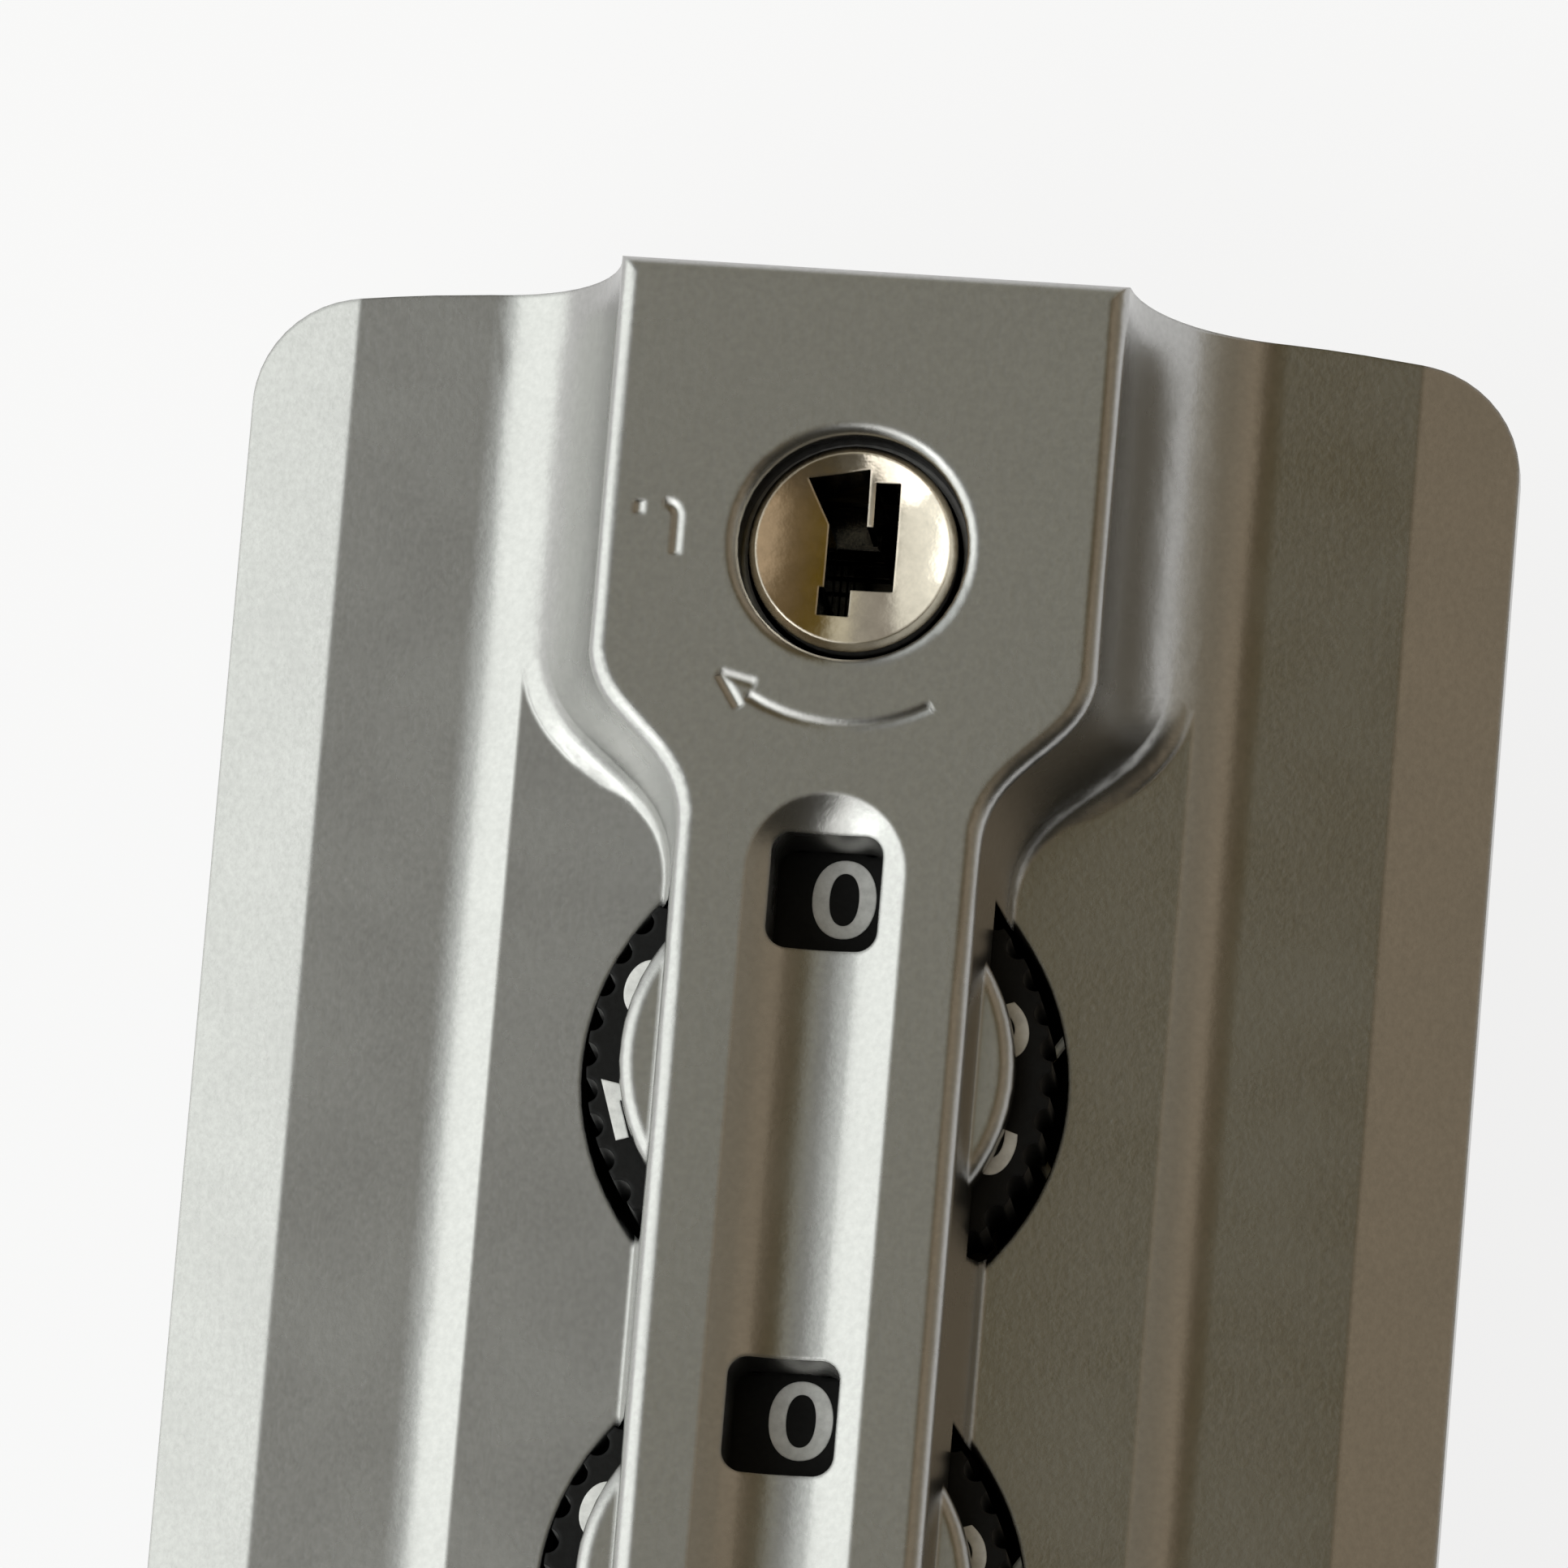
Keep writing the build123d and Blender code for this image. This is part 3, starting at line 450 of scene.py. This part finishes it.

# Key plug: the turning core with the keyway, whose face shows in the key hole.
# Turned brass under bright nickel, a little uneven in its shine, with painted shade down in the keyway
# and its gaps.
# It turns a quarter turn with the key.
nickel_pale = (0.86, 0.77, 0.64)
nickel_rubbed = (0.88, 0.82, 0.73)
# Painted shade: the nickel goes near black in the keyway and the gaps round the plug.
keyway_shade = (0.004, 0.004, 0.004)
bright_nickel, shader = grained_finish(
    "bright_nickel", nickel_pale, nickel_rubbed,
    grain=dict(Grain_Scale=1600.0, Patch_Scale=700.0, Roughness_Low=0.08, Roughness_High=0.16,
               Tone_Low=0.88, Tone_High=1.05),
    rub=dict(Radius=0.0001, Break_Scale=1500.0), bump_height=0.000006)
shader.inputs["Metallic"].default_value = 1.0
dirty_gaps(bright_nickel, shader, keyway_shade, Distance=0.004, Black_Below=0.25, Clean_Above=0.5)
dress(bright_nickel, "key_plug")

# Buttons: the ridged release slide on the face, and the small reset button on the back.
# Black moulded plastic, a little glossier than the case where thumbs push it.
# The slide is screwed to the lock bar, and a spring holds each button at rest.
button_black = (0.020, 0.020, 0.021)
button_rubbed = (0.075, 0.075, 0.076)
moulded_button, shader = grained_finish(
    "moulded_button", button_black, button_rubbed,
    grain=dict(Grain_Scale=4600.0, Patch_Scale=380.0, Roughness_Low=0.36, Roughness_High=0.52,
               Tone_Low=0.75, Tone_High=1.2),
    rub=dict(Radius=0.00025, Break_Scale=1200.0), bump_height=0.000014)
dress(moulded_button, "release_button", "reset_button")

# Front cover: the face of the lock, one casting with wings that lie on the luggage shell.
# Die-cast zinc under satin silver paint, whose metal flakes give a fine mottled grain.
# Four posts under the wings take the screws from inside the shell.
paint_silver = (0.44, 0.437, 0.425)
paint_rubbed = (0.52, 0.517, 0.505)
# Painted shade: the paint darkens to near black in narrow gaps and deep corners, such as round the key
# plug.
paint_shade = (0.012, 0.011, 0.009)
silver_paint, shader = grained_finish(
    "silver_paint", paint_silver, paint_rubbed,
    grain=dict(Grain_Scale=4200.0, Patch_Scale=240.0, Roughness_Low=0.24, Roughness_High=0.29,
               Tone_Low=0.94, Tone_High=1.05),
    rub=dict(Radius=0.0002, Break_Scale=800.0), bump_height=0.000005)
shader.inputs["Metallic"].default_value = 1.0
dirty_gaps(silver_paint, shader, paint_shade, Distance=0.0012, Black_Below=0.12, Clean_Above=0.42)
dress(silver_paint, "front_cover")

# Case screws: four small cross-head screws in the back of the case.
# Zinc-plated steel, the same as the other steel pieces.
# They pull the case against the cover.
dress(plated_steel, "case_screws")

# Floor: a plain white sheet that the lock lies on.
# It shows white to the eye and in reflections, and still takes a soft shadow.
floor_half = 3.0
floor_drop = 0.0001
floor_white = (0.90, 0.90, 0.90)
floor_glow = 0.85


def floor_sheet():
    """The sheet as one square face, just below the lock."""
    mesh = bpy.data.meshes.new("floor")
    signs = [(-1, -1), (1, -1), (1, 1), (-1, 1)]
    corners = [(x * floor_half, y * floor_half, -floor_drop) for x, y in signs]
    mesh.from_pydata(corners, [], [(0, 1, 2, 3)])
    return add_object("floor", mesh)


def floor_finish():
    """Matt white under the lamps, and glowing white for the rays that look at it."""
    material = bpy.data.materials.new("white_sheet")
    material.use_nodes = True
    tree = material.node_tree
    matt = tree.nodes["Principled BSDF"]
    set_inputs(matt, Base_Color=(*floor_white, 1), Roughness=0.9, Specular_IOR_Level=0.1)
    rays = tree.nodes.new("ShaderNodeLightPath").outputs
    seen = rays["Is Camera Ray"]
    for ray in ("Is Glossy Ray", "Is Transmission Ray"):
        seen = combine(tree, "MAXIMUM", seen, rays[ray])
    share = combine(tree, "MULTIPLY", seen, floor_glow)
    mix = tree.nodes.new("ShaderNodeMixShader")
    tree.links.new(share, mix.inputs["Fac"])
    tree.links.new(matt.outputs["BSDF"], mix.inputs[1])
    tree.links.new(tree.nodes.new("ShaderNodeEmission").outputs["Emission"], mix.inputs[2])
    tree.links.new(mix.outputs["Shader"], tree.nodes["Material Output"].inputs["Surface"])
    return material


floor = floor_sheet()
floor.data.materials.append(floor_finish())

# Studio light: a broad bright wall on the left, a grey ceiling and a dim warm room on the right.
# The slopes that face left then shine and the slopes that face right or to the front fall dark.
studio_strength = 1.65
studio_stops = [
    (-1.00, (0.555, 0.58, 0.565)),
    (-0.55, (0.56, 0.585, 0.57)),
    (-0.42, (0.51, 0.53, 0.515)),
    (-0.28, (0.165, 0.160, 0.149)),
    (-0.18, (0.18, 0.178, 0.166)),
    (-0.06, (0.305, 0.30, 0.25)),
    (0.07, (0.06, 0.04, 0.003)),
    (0.30, (0.075, 0.055, 0.03)),
    (0.43, (0.26, 0.21, 0.15)),
    (0.85, (0.18, 0.155, 0.115)),
    (1.00, (0.32, 0.30, 0.26)),
]
front_dark = (0.030, 0.027, 0.020)
front_begins = -0.05
front_full = -0.35
wall_ends = -0.45
wall_gone = -0.2


def studio_world():
    """The room round the lock: colours from left to right, and a dark front beside the wall."""
    world = bpy.data.worlds.new("studio")
    world.use_nodes = True
    tree = world.node_tree
    way = tree.nodes.new("ShaderNodeSeparateXYZ")
    tree.links.new(tree.nodes.new("ShaderNodeTexCoord").outputs["Generated"], way.inputs["Vector"])
    across = place_node(tree, "ShaderNodeMapRange", From_Min=-1.0, From_Max=1.0)
    tree.links.new(way.outputs["X"], across.inputs["Value"])
    ramp = tree.nodes.new("ShaderNodeValToRGB")
    ramp.color_ramp.interpolation = "EASE"
    stops = ramp.color_ramp.elements
    while len(stops) < len(studio_stops):
        stops.new(0.5)
    for stop, (x, colour) in zip(stops, studio_stops):
        stop.position = (x + 1) / 2
        stop.color = (*colour, 1)
    tree.links.new(across.outputs["Result"], ramp.inputs["Fac"])
    in_front = place_node(tree, "ShaderNodeMapRange", From_Min=front_begins, From_Max=front_full)
    tree.links.new(way.outputs["Y"], in_front.inputs["Value"])
    off_wall = place_node(tree, "ShaderNodeMapRange", From_Min=wall_ends, From_Max=wall_gone)
    tree.links.new(way.outputs["X"], off_wall.inputs["Value"])
    both = combine(tree, "MULTIPLY", in_front.outputs["Result"], off_wall.outputs["Result"])
    room = blend_colours(tree, "MIX", both, ramp.outputs["Color"], front_dark)
    background = tree.nodes["Background"]
    background.inputs["Strength"].default_value = studio_strength
    tree.links.new(room, background.inputs["Color"])
    return world


bpy.context.scene.world = studio_world()


def soft_lamp(name, location, size, power, colour):
    """A square soft box that faces the lock."""
    lamp = bpy.data.lights.new(name, "AREA")
    lamp.size = size
    lamp.energy = power
    lamp.color = colour
    holder = add_object(name, lamp)
    holder.location = location
    holder.rotation_euler = (-Vector(location)).to_track_quat("-Z", "Y").to_euler()


soft_lamp("left_box", (-0.62, -0.05, 0.32), size=0.8, power=2.0, colour=(0.98, 1.0, 0.97))
soft_lamp("high_box", (-0.29, -0.34, 0.60), size=0.5, power=1.2, colour=(0.99, 1.0, 0.98))

# Camera: almost straight down on the key end of the lock, from a little below and to the right.
# It is far enough off that the sides of the lock stay parallel, as they are in the photograph.
view_distance = 0.6
view_span = 0.049595
view_tilt = radians(11.5)
view_yaw = radians(5.3)
view_roll = radians(4.81)
view_target = Vector((-0.001517, 0.031095, 0.0204))


def photo_camera():
    """A long lens on the target, from the side, height and roll of the photograph."""
    back = Vector((sin(view_yaw), -sin(view_tilt), 0))
    back.z = sqrt(1 - back.length_squared)
    level_up = (Vector((0, 1, 0)) - back * back.y).normalized()
    level_right = level_up.cross(back)
    right = cos(view_roll) * level_right + sin(view_roll) * level_up
    up = cos(view_roll) * level_up - sin(view_roll) * level_right
    lens = bpy.data.cameras.new("camera")
    lens.lens = lens.sensor_width * view_distance / view_span
    lens.clip_start = 0.05
    lens.clip_end = 20.0
    camera = add_object("camera", lens)
    turned = Matrix((right, up, back)).transposed().to_4x4()
    camera.matrix_world = Matrix.Translation(view_target + back * view_distance) @ turned
    return camera


bpy.context.scene.camera = photo_camera()
bpy.context.scene.view_settings.view_transform = "Standard"
